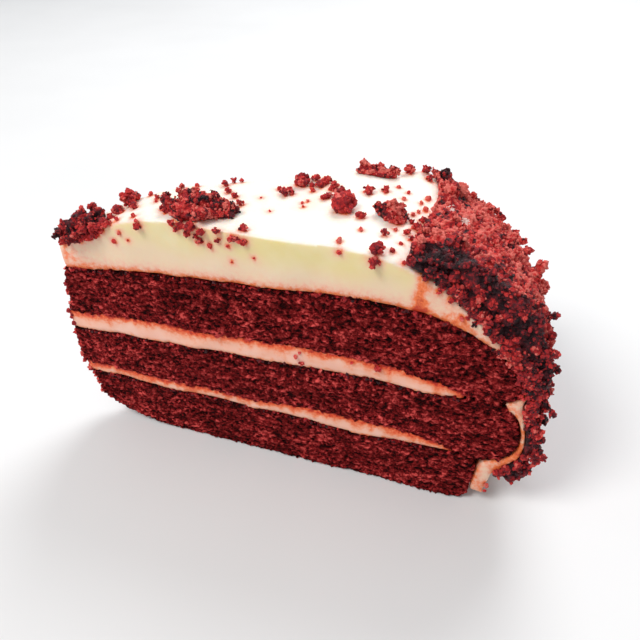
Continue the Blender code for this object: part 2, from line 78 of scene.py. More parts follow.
# Size of the faces that each kind of surface is made of
SPONGE_FACE = 0.43
CREAM_FACE = 0.5
FROSTING_FACE = 0.6

# Each sponge with the cream above it and its seed, each filling with the sponges above and below it
SPONGES = (
    ("sponge_bottom", "filling_lower", 11.0),
    ("sponge_middle", "filling_upper", 23.0),
    ("sponge_top", "frosting", 37.0),
)
FILLINGS = (
    ("filling_lower", "sponge_middle", "sponge_bottom", 5.0),
    ("filling_upper", "sponge_top", "sponge_middle", 9.0),
)

# Sponge: size along the layer and up of its crumb, of its pores and of torn patches, and their relief
SPONGE_GRAIN = (1.5, 1.5, 0.95)
SPONGE_RELIEF = 0.44
PORE_GRAIN = (2.4, 2.4, 1.3)
PORE_WIDTH = 0.34
PORE_DEPTH = 0.75
TORN_GRAIN = (5.0, 5.0, 2.2)
TORN_RELIEF = 0.32
SPONGE_SWELL = 0.16
EDGE_GRAIN = 1.7
EDGE_RELIEF = 0.75
CRUST = 0.9

# Below this height the underside of the cake stays flat
FOOT = 3.0

# Cream and frosting: waves left by the knife and the spatula, and how far the sponge's red reaches,
# soaked-in red with a painted glow of light through the cream
CREAM_WAVE = 0.18
SEAM_FILL = 0.3
CREAM_GRAIN = (5.0, 5.0, 1.4)
STAIN_GLOW_DOWN = 2.0
STAIN_GLOW_UP = 0.6
FROSTING_WAVE = 0.14
FROSTING_GRAIN = (9.0, 9.0, 3.0)
FROSTING_STAIN_GLOW = 2.0
HALO = 0.9

# The red streak under the dark clump: distance from the pole, half width, strength
STREAK_AT = 99.9
STREAK_WIDTH = 1.8
STREAK_STAIN = 0.66

# Crumbs fused to the frosting are levelled: lowest height, step of the height field, reach
LEVEL_FROM = 55
LEVEL_STEP = 0.6
LEVEL_REACH = 3.9

# The core of the coat and of a heap.
# face, lumps, relief: size of its faces and of its lumps, and how far the lumps stand out
# drawn: how far the core is drawn in, so that it fills its solid's form together with the loose grains
# seated: where its faces look further down than this, it fills the gap to what it lies on
# hold, rim: share of the relief kept beside what it lies on, and the gap that loose grains start at
COAT_CORE = dict(face=0.45, lumps=(3.3, 1.3), relief=1.3, drawn=1.3, seated=2.0, hold=0.0, rim=0.8)
HEAP_CORE = dict(face=0.32, lumps=(2.4, 1.1), relief=0.8, seated=-0.85, hold=0.4, rim=0.3)

# Gap up to which a pile counts as seated, the gap it is clear of its seat at, and what fills the gap
SEAT_GAP = 0.6
CLEAR_GAP = 2.2
SEAT_SWELL = 0.25

# The coat's seed, the tone added, and the count and radii of each kind of loose grain. The same of each
# heap, after its name and how far its core is drawn in.
COAT_SEED = 3.0
COAT_LIGHT = 0.03
COAT_KINDS = ((330, (0.9, 1.9)), (4100, (0.28, 0.7)), (3400, (0.16, 0.4)))
HEAPS = (
    ("tip", 0.3, 6.0, 0.1, ((64, (0.5, 1.0)), (300, (0.25, 0.5)))),
    ("front", 0.6, 7.0, 0.0, ((80, (0.6, 1.3)), (300, (0.25, 0.55)))),
    ("right", 0.5, 8.0, 0.0, ((26, (0.5, 1.0)), (160, (0.2, 0.5)))),
    ("far", 0.8, 9.0, 0.4, ((22, (0.5, 1.0)), (150, (0.2, 0.5)))),
)

# Shapes that all loose crumbs are made from, and smaller bits in each torn lump
SHAPES = 12
LUMP_BITS = 10

# Tone given to bits of frosting among the crumbs, whose own tones run from 0 to 1, and their brightest
CREAMY = 3.0
BRIGHTEST = 1.3

# Dark clumps, on the front shoulder of the coat and on the tip: middle, half lengths, darkness
CLUMPS = (((101.5, -24.5, 72.0), (9.0, 7.0, 8.0), 0.95), ((12.0, -2.0, 67.0), (8.5, 7.0, 7.0), 0.6))

# Crumbs lying on the frosting: distance along the slice and across it from the pole, radius
LYING_CRUMBS = (
    (23.8, 4.4, 2.3), (21.2, 0.9, 1.5), (26.3, -0.1, 0.8), (27.6, -5.4, 0.7), (28.8, 6.4, 0.7),
    (31.4, 3.2, 0.8), (36.5, 8.4, 0.9), (47.3, 11.8, 0.6), (49.6, 12.4, 0.9), (51.6, 12.8, 0.6),
    (56.0, -13.4, 1.1), (63.9, 4.6, 1.4), (68.9, -1.7, 0.4), (67.7, 10.8, 2.1), (71.2, 13.4, 1.2),
    (70.8, 6.5, 0.7), (74.2, 11.4, 1.4), (76.3, 9.0, 1.2), (77.7, 5.2, 1.6), (73.8, 2.4, 1.0),
    (78.9, -2.7, 3.0), (82.9, -6.1, 1.2), (83.0, -12.4, 0.6), (78.2, -18.4, 0.7), (86.6, -21.4, 1.7),
    (89.9, -20.3, 0.8), (88.4, -13.6, 1.0), (92.0, -16.4, 0.5), (92.4, -23.2, 0.5), (85.0, 6.9, 1.5),
    (89.5, 9.0, 1.2), (95.4, 10.4, 0.5), (96.4, 23.8, 1.7), (101.0, 25.2, 1.5), (102.0, 20.8, 1.2),
    (94.0, 6.4, 0.6), (93.0, 13.0, 0.5), (61.0, -4.0, 0.3), (58.0, 3.0, 0.3), (40.5, 9.4, 0.6),
    (16.4, -3.6, 1.6), (18.9, -4.2, 1.3), (22.0, 0.2, 1.4), (20.3, -1.9, 1.2), (20.9, -5.2, 0.8),
    (24.6, 2.0, 1.5), (25.8, 1.0, 1.0), (23.1, -4.8, 0.6), (31.6, 1.6, 0.6), (34.8, -3.4, 1.0),
    (35.7, -1.3, 1.2), (36.0, -4.9, 1.1), (37.6, 10.4, 0.5), (47.8, 10.0, 1.0), (49.2, 6.2, 0.9),
    (51.3, 3.5, 0.9), (53.3, -0.6, 1.0), (54.2, 15.0, 0.4), (62.2, 7.9, 0.7), (64.7, 7.0, 0.9),
    (65.6, 5.4, 0.9), (68.6, 0.1, 0.4), (69.9, 1.1, 0.4), (72.4, 9.4, 1.3), (70.4, 9.4, 0.9),
    (75.0, 3.4, 1.0), (75.6, 7.2, 1.0), (92.5, -6.4, 0.9), (91.1, -10.4, 0.5), (93.7, -11.1, 1.0),
    (94.6, -13.4, 0.8), (95.6, -15.8, 0.9), (95.2, -5.4, 0.8), (96.2, -7.8, 1.2), (96.5, -12.5, 1.2),
    (98.0, -3.6, 1.0), (95.9, -1.1, 0.6), (99.3, 2.5, 0.7), (100.6, -0.9, 1.1), (100.3, -7.7, 1.3),
    (98.4, 5.6, 0.6), (100.4, 8.4, 0.7), (97.2, -10.2, 1.0), (99.0, -5.6, 0.9), (97.4, 0.8, 0.5),
)

# Crumbs stuck to the near cut: distance from the pole, height, radius
STUCK_CRUMBS = (
    (6.0, 62.0, 0.8), (7.0, 62.9, 1.3), (8.6, 63.3, 1.6), (10.9, 63.9, 1.7), (13.2, 64.6, 1.6),
    (15.4, 65.3, 1.5), (17.2, 66.2, 1.3), (19.2, 67.2, 0.9), (14.6, 67.4, 1.7), (17.5, 68.2, 1.6),
    (19.6, 69.0, 1.2), (12.0, 66.4, 1.6), (21.0, 69.4, 0.7), (30.2, 71.9, 0.6), (39.9, 73.0, 1.0),
    (42.4, 72.6, 1.2), (44.8, 72.9, 1.4), (47.5, 71.9, 1.2), (51.5, 72.8, 1.0), (43.8, 70.3, 0.6),
    (46.1, 68.7, 0.5), (49.4, 67.8, 0.4), (56.0, 71.4, 1.1), (58.3, 71.0, 0.9), (22.6, 64.7, 0.4),
    (22.4, 64.9, 0.6), (24.5, 67.6, 0.5), (26.6, 65.9, 0.3), (30.3, 70.6, 1.1), (40.8, 71.4, 0.8),
    (43.6, 70.7, 1.0), (45.9, 70.3, 0.8), (46.8, 69.3, 0.9), (49.3, 68.4, 0.6), (51.6, 70.1, 0.8),
    (54.0, 69.0, 0.5), (55.2, 71.3, 1.0), (58.0, 71.0, 1.1), (54.6, 64.7, 0.3), (60.4, 66.9, 0.3),
    (80.9, 72.0, 0.6), (89.0, 71.2, 1.5), (103.8, 66.2, 0.6), (106.6, 64.7, 0.8), (109.3, 60.5, 0.6),
    (70.0, 39.4, 0.6), (71.1, 41.0, 0.5), (71.6, 37.6, 0.8), (73.1, 32.7, 0.5), (84.8, 41.3, 0.4),
    (91.4, 41.1, 1.1), (88.3, 42.8, 0.4), (124.2, 14.6, 1.0), (127.0, 12.6, 1.5), (129.2, 14.4, 1.3),
    (122.6, 8.4, 0.7), (130.6, 18.0, 1.3), (131.4, 22.0, 1.2), (124.6, 7.2, 0.6), (124.0, 5.6, 0.5),
)

# Crumbs on the sponges' front edge, at the tip of the slice: how many, heights, radii
TIP_CRUMBS = 70
TIP_HEIGHTS = (5.0, 53.0)
TIP_SIZES = (0.25, 0.75)

# Slivers of frosting that show in the coat: middle, half lengths, and the bits they are made of
SLIVERS = (((105.7, 3.0, 74.0), (1.1, 2.2, 4.0)), ((107.9, -4.5, 73.5), (1.1, 3.4, 4.0)))
SLIVER_BITS = 60
SLIVER_SIZES = (0.3, 0.6)

# The ragged edge of the coat down the near cut: its line, and the crumbs along it
EDGE_RADII = (99.0, 103.0, 106.5, 109.5, 113.0, 116.5, 120.5, 124.0, 127.2, 128.6, 128.4, 127.4,
              128.4, 130.2, 131.4, 131.8, 131.4)
EDGE_HEIGHTS = (71.0, 69.3, 66.6, 63.6, 60.2, 57.0, 54.2, 51.0, 47.6, 44.0, 40.4, 36.4,
                33.0, 30.0, 26.0, 22.0, 18.5)
EDGE_CRUMBS = 380
EDGE_SIZES = (0.35, 1.35)
EDGE_WANDER = 1.5

# Where the coat's edge reaches inward over the thin frosting beside the top sponge: crumbs, part, reach
REACH_CRUMBS = 90
REACH_PART = (6.0, 9.4)
REACH = (1.9, 1.2)

# Lumps that stand out of the coat: place from the pole, radius
PROUD_CRUMBS = (
    (126.3, 29.6, 56.4, 1.9), (127.6, -9.8, 64.5, 1.8), (110.0, 15.5, 70.6, 2.1),
    (114.6, 21.1, 66.9, 1.1), (119.0, 20.1, 62.9, 1.6), (124.2, -8.7, 68.0, 1.4),
    (106.5, 23.4, 71.4, 2.0), (126.0, 12.4, 60.1, 1.3), (130.4, -8.4, 56.6, 1.5),
    (129.1, -22.3, 57.6, 1.1), (128.6, -34.6, 37.8, 1.3), (126.4, -33.3, 54.8, 1.1),
    (127.4, -29.2, 57.2, 1.3), (125.8, 2.6, 63.4, 1.1), (129.6, -28.4, 46.6, 1.4),
    (122.0, 22.0, 62.0, 1.3),
)

# Small crumbs that hang from the upper edge of each sponge at the cuts
SEAM_CRUMBS = 420
SEAM_SIZES = (0.22, 0.6)

# Camera: millimetres from the pole, its right and up, lens
CAMERA_PLACE = (80.41687, -138.746, 142.18)
CAMERA_RIGHT = (0.99867511, 0.05122825, -0.0048682981)
CAMERA_UP = (-0.02694009, 0.60109088, 0.7987264745)
CAMERA_LENS = 34.875

# Lights, all aimed at one point: place in metres, size, power, colour
LIGHT_AIM = (0.0, 0.0, 0.03)
LIGHTS = (
    ("window", (0.25, 0.75, 0.85), 0.7, 7.5, "#FFFFFF"),
    ("fill", (-0.5, -0.35, 0.85), 0.4, 6.0, "#FFFDFA"),
)
ROOM_LIGHT = 0.47


def linear(hex_colour):
    """sRGB hex colour as linear RGBA."""
    parts = [int(hex_colour[n:n + 2], 16) / 255 for n in (1, 3, 5)]
    return [p / 12.92 if p <= 0.04045 else ((p + 0.055) / 1.055) ** 2.4 for p in parts] + [1.0]


def ease(low, high, x):
    """0 below low, 1 above high, smooth between."""
    t = min(1.0, max(0.0, (x - low) / (high - low)))
    return t * t * (3 - 2 * t)


def from_pole(x, y, z=0.0):
    """A point given from the pole, in the frame's millimetres."""
    return POLE + Vector((x, y, z))


def polar(place):
    """Distance from the pole and angle from the middle of the slice."""
    return math.hypot(place.x - POLE.x, place.y - POLE.y), math.atan2(place.y - POLE.y, place.x - POLE.x)


def on_near_cut(r, z, proud):
    """A point on the near cut, this much proud of it."""
    side = Vector((-math.sin(HALF_ANGLE), -math.cos(HALF_ANGLE), 0.0))
    return from_pole(r * math.cos(HALF_ANGLE), -r * math.sin(HALF_ANGLE), z) + side * proud


def stretched(point, grain, seed):
    """A place in noise whose features are this wide each way."""
    return Vector((point.x / grain[0], point.y / grain[1], point.z / grain[2] + seed))


def share_out(place, middle, spread):
    """How far out in an ellipsoid a place is: 0 in its middle, given from the pole, 1 at its surface."""
    away = place - from_pole(*middle)
    return math.sqrt(sum((away[n] / spread[n]) ** 2 for n in range(3)))


def any_way(rng):
    """A random direction."""
    return Vector([rng.gauss(0, 1) for _ in range(3)]).normalized()


def within(sizes, rng, power):
    """A random size in this range, small more often than large."""
    return sizes[0] + (sizes[1] - sizes[0]) * rng.random() ** power


def merged_copy(node):
    """Copy of a solid's mesh, in millimetres, with its doubles merged."""
    bm = bmesh.new()
    bm.from_mesh(frame["nodes"][node].data)
    bmesh.ops.remove_doubles(bm, verts=bm.verts, dist=1e-6)
    bmesh.ops.transform(bm, matrix=Matrix.Scale(1 / MM, 4), verts=bm.verts)
    return bm


def applied(bm, kind, **settings):
    """The mesh with one modifier applied."""
    mesh = bpy.data.meshes.new("work")
    bm.to_mesh(mesh)
    bm.free()
    obj = bpy.data.objects.new("work", mesh)
    bpy.context.scene.collection.objects.link(obj)
    modifier = obj.modifiers.new("work", kind)
    for name, value in settings.items():
        setattr(modifier, name, value)
    bpy.context.view_layer.update()
    graph = bpy.context.evaluated_depsgraph_get()
    result = bpy.data.meshes.new_from_object(obj.evaluated_get(graph))
    bpy.data.objects.remove(obj)
    bpy.data.meshes.remove(mesh)
    out = bmesh.new()
    out.from_mesh(result)
    bpy.data.meshes.remove(result)
    return out


def even_faces(bm, size, rounds):
    """The same form in small even faces, smoothed this many rounds."""
    bm = applied(bm, "REMESH", mode="VOXEL", voxel_size=size)
    for _ in range(rounds):
        bmesh.ops.smooth_vert(
            bm, verts=bm.verts, factor=0.5, use_axis_x=True, use_axis_y=True, use_axis_z=True)
    bm.normal_update()
    return bm


def push(bm, amount):
    """Moves each vertex along its normal by amount(place, normal)."""
    moves = [vert.normal * amount(vert.co, vert.normal) for vert in bm.verts]
    for vert, move in zip(bm.verts, moves):
        vert.co += move
    bm.normal_update()


def paint(bm, name, value):
    """Stores value(place, normal) on each vertex."""
    layer = bm.verts.layers.float.new(name)
    for vert in bm.verts:
        vert[layer] = value(vert.co, vert.normal)


def finish(name, bm, material, nodes=(), smooth=True):
    """The finished piece, in metres, riding on the slice."""
    for face in bm.faces:
        face.smooth = smooth
    bmesh.ops.transform(bm, matrix=Matrix.Scale(MM, 4), verts=bm.verts)
    mesh = bpy.data.meshes.new(name)
    bm.to_mesh(mesh)
    bm.free()
    obj = bpy.data.objects.new(name, mesh)
    bpy.context.scene.collection.objects.link(obj)
    mesh.materials.append(material)
    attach(obj, "root")
    if nodes:
        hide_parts(*nodes)


# ---------------------------------------------------------------- materials

def add(tree, kind, inputs=None, stops=None, **settings):
    """A shader node with its settings, and its inputs as values or as sockets to link."""
    node = tree.nodes.new("ShaderNode" + kind)
    for name, value in settings.items():
        setattr(node, name, value)
    for name, value in (inputs or {}).items():
        if isinstance(value, bpy.types.NodeSocket):
            tree.links.new(value, node.inputs[name])
        else:
            node.inputs[name].default_value = value
    if stops:
        points = node.color_ramp.elements
        while len(points) < len(stops):
            points.new(0.5)
        for point, (place, colour) in zip(points, stops):
            point.position = place
            point.color = linear(colour) if isinstance(colour, str) else (colour, colour, colour, 1.0)
    return node


def per_mm(size):
    """Texture scale that gives features this many millimetres wide."""
    return 1 / (size * MM)


def start_material(name):
    """A new material, its node tree, its shader and the piece's own coordinates."""
    material = bpy.data.materials.new(name)
    material.use_nodes = True
    tree = material.node_tree
    return material, tree, tree.nodes["Principled BSDF"], add(tree, "TexCoord").outputs["Object"]


def sponge_material():
    """Red velvet sponge, baked and cut: matt, torn into small flakes, with painted shade making the pores
    between them near-black.
    """
    material, tree, shader, place = start_material("cut_red_velvet_sponge")
    flat = add(tree, "Mapping", {"Vector": place, "Scale": (1.0, 1.0, 1.5)}).outputs["Vector"]
    flake = add(tree, "TexNoise", {"Vector": flat, "Scale": per_mm(1.6), "Detail": 6.0, "Roughness": 0.76,
                                   "Distortion": 0.3}).outputs["Fac"]
    patch = add(tree, "TexNoise", {"Vector": flat, "Scale": per_mm(8.0), "Detail": 3.0}).outputs["Fac"]
    # height: painted shade in the pores and hollows, painted light on the raised crumb, and the darker
    # crust.
    height = add(tree, "Attribute", attribute_name="height").outputs["Fac"]
    speck = add(tree, "MapRange", {"Value": flake, "From Min": 0.37, "From Max": 0.63,
                                   "To Min": -0.56, "To Max": 0.56}).outputs["Result"]
    level = add(tree, "Math", {0: height, 1: speck}, operation="ADD", use_clamp=True).outputs[0]
    crumb = add(tree, "ValToRGB", {"Fac": level}, stops=(
        (0.0, "#180103"), (0.25, "#45060A"), (0.5, "#911B1F"), (0.75, "#C43032"), (1.0, "#E85854")))
    shade = add(tree, "ValToRGB", {"Fac": patch}, stops=((0.36, "#BFA6AA"), (0.6, "#FFFFFF")))
    toned = add(tree, "Mix", {0: 1.0, 6: crumb.outputs["Color"], 7: shade.outputs["Color"]},
                data_type="RGBA", blend_type="MULTIPLY")
    tree.links.new(toned.outputs[2], shader.inputs["Base Color"])
    bump = add(tree, "Bump", {"Height": level, "Strength": 1.0, "Distance": 0.6 * MM})
    tree.links.new(bump.outputs["Normal"], shader.inputs["Normal"])
    shader.inputs["Roughness"].default_value = 0.85
    shader.inputs["Specular IOR Level"].default_value = 0.08
    return material


def cream_material(name, pale, warm, deep, stain, wet):
    """Cream cheese frosting, spread and cut: soft, a little glossy, and stained where sponge touches it,
    with a painted glow of light there too.
    """
    material, tree, shader, place = start_material(name)
    cloud = add(tree, "TexNoise", {"Vector": place, "Scale": per_mm(11.0), "Detail": 3.0})
    streak = add(tree, "Mapping", {"Vector": place, "Scale": (1.0, 1.0, 3.0)}).outputs["Vector"]
    drag = add(tree, "TexNoise", {"Vector": streak, "Scale": per_mm(3.0), "Detail": 4.0, "Roughness": 0.6})
    # top makes a face paler: on the frosting painted light on the faces that look up, on the fillings a
    # random mottle.
    top = add(tree, "Attribute", attribute_name="top").outputs["Fac"]
    tone = add(tree, "MapRange", {"Value": cloud.outputs["Fac"], "From Min": 0.3, "From Max": 0.7,
                                  "To Min": -0.2, "To Max": 0.2}).outputs["Result"]
    tone = add(tree, "Math", {0: top, 1: tone}, operation="ADD", use_clamp=True).outputs[0]
    rim = add(tree, "Attribute", attribute_name="rim").outputs["Fac"]
    inside = add(tree, "Mix", {0: rim, 6: linear(warm), 7: linear(deep)}, data_type="RGBA").outputs[2]
    base = add(tree, "Mix", {0: tone, 6: inside, 7: linear(pale)}, data_type="RGBA").outputs[2]
    stain_and_glow = add(tree, "Attribute", attribute_name="stain").outputs["Fac"]
    ragged = add(tree, "TexNoise", {"Vector": place, "Scale": per_mm(1.3), "Detail": 4.0, "Roughness": 0.7})
    ragged = add(tree, "MapRange", {"Value": ragged.outputs["Fac"], "From Min": 0.3, "From Max": 0.7,
                                    "To Min": 0.55, "To Max": 1.35}).outputs["Result"]
    stain_and_glow = add(tree, "Math", {0: stain_and_glow, 1: ragged}, operation="MULTIPLY", use_clamp=True).outputs[0]
    dyed = add(tree, "ValToRGB", {"Fac": stain_and_glow}, stops=stain)
    amount = add(tree, "MapRange", {"Value": stain_and_glow, "From Min": 0.0, "From Max": 0.55}).outputs["Result"]
    mixed = add(tree, "Mix", {0: amount, 6: base, 7: dyed.outputs["Color"]}, data_type="RGBA")
    tree.links.new(mixed.outputs[2], shader.inputs["Base Color"])
    bump = add(tree, "Bump", {"Height": drag.outputs["Fac"], "Strength": 0.25, "Distance": 0.2 * MM})
    tree.links.new(bump.outputs["Normal"], shader.inputs["Normal"])
    shader.inputs["Roughness"].default_value = wet
    shader.inputs["Specular IOR Level"].default_value = 0.4
    shader.inputs["Subsurface Weight"].default_value = 0.25
    shader.inputs["Subsurface Radius"].default_value = (1.0, 0.55, 0.3)
    shader.inputs["Subsurface Scale"].default_value = 2.0 * MM
    return material


def crumb_material():
    """Crumbled red velvet cake: near-black to bright red by its tone, which holds painted light and shade;
    glossier where dark.

    A tone above 2 is a bit of frosting among the crumbs.
    """
    material, tree, shader, place = start_material("crumbled_red_velvet")
    tone = add(tree, "Attribute", attribute_name="tone").outputs["Fac"]
    fine = add(tree, "TexNoise", {"Vector": place, "Scale": per_mm(0.8), "Detail": 5.0, "Roughness": 0.75})
    fine = fine.outputs["Fac"]
    shift = add(tree, "MapRange", {"Value": fine, "From Min": 0.3, "From Max": 0.7,
                                   "To Min": -0.3, "To Max": 0.3}).outputs["Result"]
    level = add(tree, "Math", {0: tone, 1: shift}, operation="ADD", use_clamp=True).outputs[0]
    # The dark end of the ramp shows painted shade, the pale coral end painted light, where the tone carries
    # them.
    colour = add(tree, "ValToRGB", {"Fac": level}, stops=(
        (0.0, "#280C14"), (0.22, "#5A1A24"), (0.46, "#B2242C"), (0.74, "#EC3A37"), (1.0, "#FF8276")))
    creamy = add(tree, "MapRange", {"Value": tone, "From Min": 2.0, "From Max": 2.5}).outputs["Result"]
    smeared = add(tree, "Mix", {0: creamy, 6: colour.outputs["Color"], 7: linear("#FFE0D8")},
                  data_type="RGBA")
    tree.links.new(smeared.outputs[2], shader.inputs["Base Color"])
    gloss = add(tree, "MapRange", {"Value": level, "From Min": 0.05, "From Max": 0.45,
                                   "To Min": 0.3, "To Max": 0.8}).outputs["Result"]
    tree.links.new(gloss, shader.inputs["Roughness"])
    bump = add(tree, "Bump", {"Height": fine, "Strength": 1.0, "Distance": 0.9 * MM})
    tree.links.new(bump.outputs["Normal"], shader.inputs["Normal"])
    shader.inputs["Specular IOR Level"].default_value = 0.4
    return material


# ---------------------------------------------------------------- sponge, fillings and frosting

def tree_of(*nodes):
    """Search tree over these solids, in millimetres."""
    joined = bmesh.new()
    for node in nodes:
        joined.from_mesh(frame["nodes"][node].data)
    bmesh.ops.transform(joined, matrix=Matrix.Scale(1 / MM, 4), verts=joined.verts)
    found = BVHTree.FromBMesh(joined)
    joined.free()
    return found


def gap_to(tree, place):
    """Distance from a place to a search tree's surface."""
    return tree.find_nearest(place)[3]


def sponge_height(place, seed):
    """How far the crumb stands out of the cut: lumps, open pores between them, and torn patches."""
    near = noise.voronoi(stretched(place, SPONGE_GRAIN, seed))[0]
    lump = min(1.0, (near[1] - near[0]) * 2.4) - 0.5
    pore = 1 - ease(0.0, PORE_WIDTH, noise.voronoi(stretched(place, PORE_GRAIN, seed))[0][0])
    torn = noise.noise(stretched(place, TORN_GRAIN, seed))
    fine = noise.noise(stretched(place, SPONGE_GRAIN, seed) * 2.3)
    return SPONGE_RELIEF * lump + TORN_RELIEF * torn + 0.18 * fine - PORE_DEPTH * pore


def make_sponge(node, above, seed, rng, material):
    """A sponge with a torn cut and a dark crust, and the crumbs that hang from the crust's edge."""
    cream = tree_of(above)
    bm = even_faces(merged_copy(node), SPONGE_FACE, 2)

    def relief(place, normal):
        amount = SPONGE_SWELL + sponge_height(place, seed)
        flat = ease(0.35, 0.75, abs(normal.z))
        amount += flat * (0.2 + EDGE_RELIEF * noise.noise(place / EDGE_GRAIN))
        if place.z < FOOT and normal.z < -0.3:
            amount = min(0.0, amount - 0.5)
        return amount

    def height(place, normal):
        # The cut's tone: painted shade in the pores and hollows, painted light on the raised crumb, darker
        # crust beside the cream.
        crust = 0.4 * math.exp(-gap_to(cream, place) / CRUST) * (1 + noise.noise(place / 1.5))
        return min(1.0, max(0.0, 0.6 + 0.75 * sponge_height(place, seed) - crust))

    def at_seam(place, normal):
        return abs(normal.z) < 0.6 and gap_to(cream, place) < 0.8 and 3 < polar(place)[0] < 112

    paint(bm, "height", height)
    push(bm, relief)
    hanging = surface_grains(
        bm, SEAM_CRUMBS, SEAM_SIZES, rng, at_seam,
        lambda face: 0.3 + 0.35 * noise.noise(face.verts[0].co / 5.0))
    finish(node + "_crumb", bm, material, [node])
    return hanging


def make_filling(node, above, below, seed, material):
    """A filling: stained most where the sponge above soaks into it."""
    upper, lower = tree_of(above), tree_of(below)
    bm = even_faces(merged_copy(node), CREAM_FACE, 4)

    def stain(place, normal):
        drip = 1 + 0.9 * noise.noise(stretched(place, (2.2, 2.2, 30.0), seed))
        # Red soaked in from the sponge above, with a painted glow of light through the cream at the seam;
        # seep is the same from below.
        stain_and_glow = math.exp(-max(0.0, gap_to(upper, place) - 0.4) / (STAIN_GLOW_DOWN * drip))
        seep = 0.5 * math.exp(-max(0.0, gap_to(lower, place) - 0.5) / STAIN_GLOW_UP)
        blot = 0.5 * max(0.0, noise.noise(place / 2.2) - 0.2)
        return min(1.0, max(stain_and_glow, seep) + blot)

    def relief(place, normal):
        touching = SEAM_FILL * ease(0.4, 0.8, abs(normal.z))
        return CREAM_WAVE * noise.noise(stretched(place, CREAM_GRAIN, seed)) + touching

    paint(bm, "stain", stain)
    paint(bm, "top", lambda place, normal: 0.5 + 0.5 * noise.noise(place / 9.0))
    push(bm, relief)
    finish(node + "_cream", bm, material, [node])


def spread_heights(tree, low, high, step, reach):
    """Heights of a solid seen from above, with lumps narrower than twice the reach levelled."""
    columns = int((high.x - low.x) / step) + 1
    rows = int((high.y - low.y) / step) + 1
    seen = np.full((columns, rows), np.nan)
    for i in range(columns):
        for j in range(rows):
            above = Vector((low.x + i * step, low.y + j * step, high.z + 5))
            hit = tree.ray_cast(above, DOWN)[0]
            if hit:
                seen[i, j] = hit.z
    span = int(reach / step)
    offsets = [
        (a, b) for a in range(-span, span + 1) for b in range(-span, span + 1)
        if a * a + b * b <= span * span
    ]
    for far, choose in ((np.inf, np.minimum), (-np.inf, np.maximum)):
        field = np.pad(np.where(np.isnan(seen), far, seen), span, constant_values=far)
        found = np.full(seen.shape, far)
        for a, b in offsets:
            found = choose(found, field[span + a:span + a + columns, span + b:span + b + rows])
        seen = np.where(np.isnan(seen), np.nan, found)
    return seen


def levelled_frosting():
    """The frosting's form without the crumbs that are fused to its top."""
    bm = merged_copy("frosting")
    low, high = (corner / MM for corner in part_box("frosting"))
    level = spread_heights(BVHTree.FromBMesh(bm), low, high, LEVEL_STEP, LEVEL_REACH)
    for vert in bm.verts:
        i = round((vert.co.x - low.x) / LEVEL_STEP)
        j = round((vert.co.y - low.y) / LEVEL_STEP)
        near = level[max(0, i - 1):i + 2, max(0, j - 1):j + 2]
        if vert.co.z > LEVEL_FROM and near.size and not np.isnan(near).all():
            vert.co.z = min(vert.co.z, np.nanmax(near))
    return bm


def make_frosting(bm, material, spots):
    """Thick frosting, stained along the sponge, round the crumbs and in a streak under the clump."""
    sponge = tree_of("sponge_top", "sponge_middle", "sponge_bottom")
    crumbs = tree_of("crumb_coat", *("crumb_heap_" + heap[0] for heap in HEAPS))
    bm = even_faces(bm, FROSTING_FACE, 8)
    grains = KDTree(len(spots))
    for number, (spot, radius, _tone) in enumerate(spots):
        grains.insert(spot, number)
    grains.balance()

    def stain(place, normal):
        r, angle = polar(place)
        mottle = ease(-0.35, 0.35, noise.noise(place / 2.1))
        gap = max(0.0, gap_to(sponge, place) - 0.7)
        # Red soaked in along the sponge, with a painted glow of light through the frosting; blush is a
        # wider pink of the same.
        stain_and_glow = 0.5 * math.exp(-gap / FROSTING_STAIN_GLOW) * (1 - 0.35 * ease(105, 115, r))
        blush = 0.16 * math.exp(-gap / 4.0)
        dust = 0.4 * math.exp(-gap_to(crumbs, place) / 1.0) * mottle
        dust *= 1 - 0.6 * ease(99, 108, r)
        number, far = grains.find(place)[1:]
        halo = 0.62 * math.exp(-max(0.0, far - spots[number][1]) / HALO)
        on_near = ease(-0.225, -0.25, angle)
        aside = r - STREAK_AT + 0.3 * math.sin(place.z)
        streak = STREAK_STAIN * math.exp(-(aside / STREAK_WIDTH) ** 2)
        streak *= ease(57, 61, place.z) * on_near
        shoulder = (0.06 + 0.08 * mottle) * ease(101, 106, r)
        tip = 0.3 * mottle * (1 - ease(6, 17, r)) + 0.08 * (1 - ease(10, 28, r))
        return min(1.0, stain_and_glow + blush + dust + halo + streak + shoulder + tip)

    def rim(place, normal):
        height = place.z + 2.0 * noise.noise(place / 8.0)
        return ease(62.5, 70.5, height) * (1 - ease(96, 101, polar(place)[0]))

    def relief(place, normal):
        touching = SEAM_FILL * ease(-0.4, -0.8, normal.z)
        return FROSTING_WAVE * noise.noise(stretched(place, FROSTING_GRAIN, 3.0)) + touching

    paint(bm, "stain", stain)
    paint(bm, "rim", rim)
    # Faces that look up are painted paler than the cut: painted light from above.
    paint(bm, "top", lambda place, normal: ease(0.3, 0.85, normal.z))
    push(bm, relief)
    finish("frosting_cream", bm, material, ["frosting"])


# ---------------------------------------------------------------- crumbs

def crumb_shapes():
    """A few lumps of a few dozen faces, about 1 mm in radius, in a collection of their own."""
    collection = bpy.data.collections.new("crumb_shapes")
    bpy.context.scene.collection.children.link(collection)
    for number in range(SHAPES):
        bm = bmesh.new()
        bmesh.ops.create_cube(bm, size=2.0)
        bmesh.ops.subdivide_edges(bm, edges=bm.edges, cuts=1, use_grid_fill=True)
        for vert in bm.verts:
            outward = vert.co.normalized()
            lobe = noise.noise(outward * 1.5 + Vector((7.0 * number, 0, 0)))
            crag = noise.noise(outward * 4.0 + Vector((0, 7.0 * number, 0)))
            vert.co = outward * (1 + 0.9 * lobe + 0.6 * crag)
        mesh = bpy.data.meshes.new("crumb_shape")
        bm.to_mesh(mesh)
        bm.free()
        collection.objects.link(bpy.data.objects.new(f"crumb_shape_{number}", mesh))
    return collection


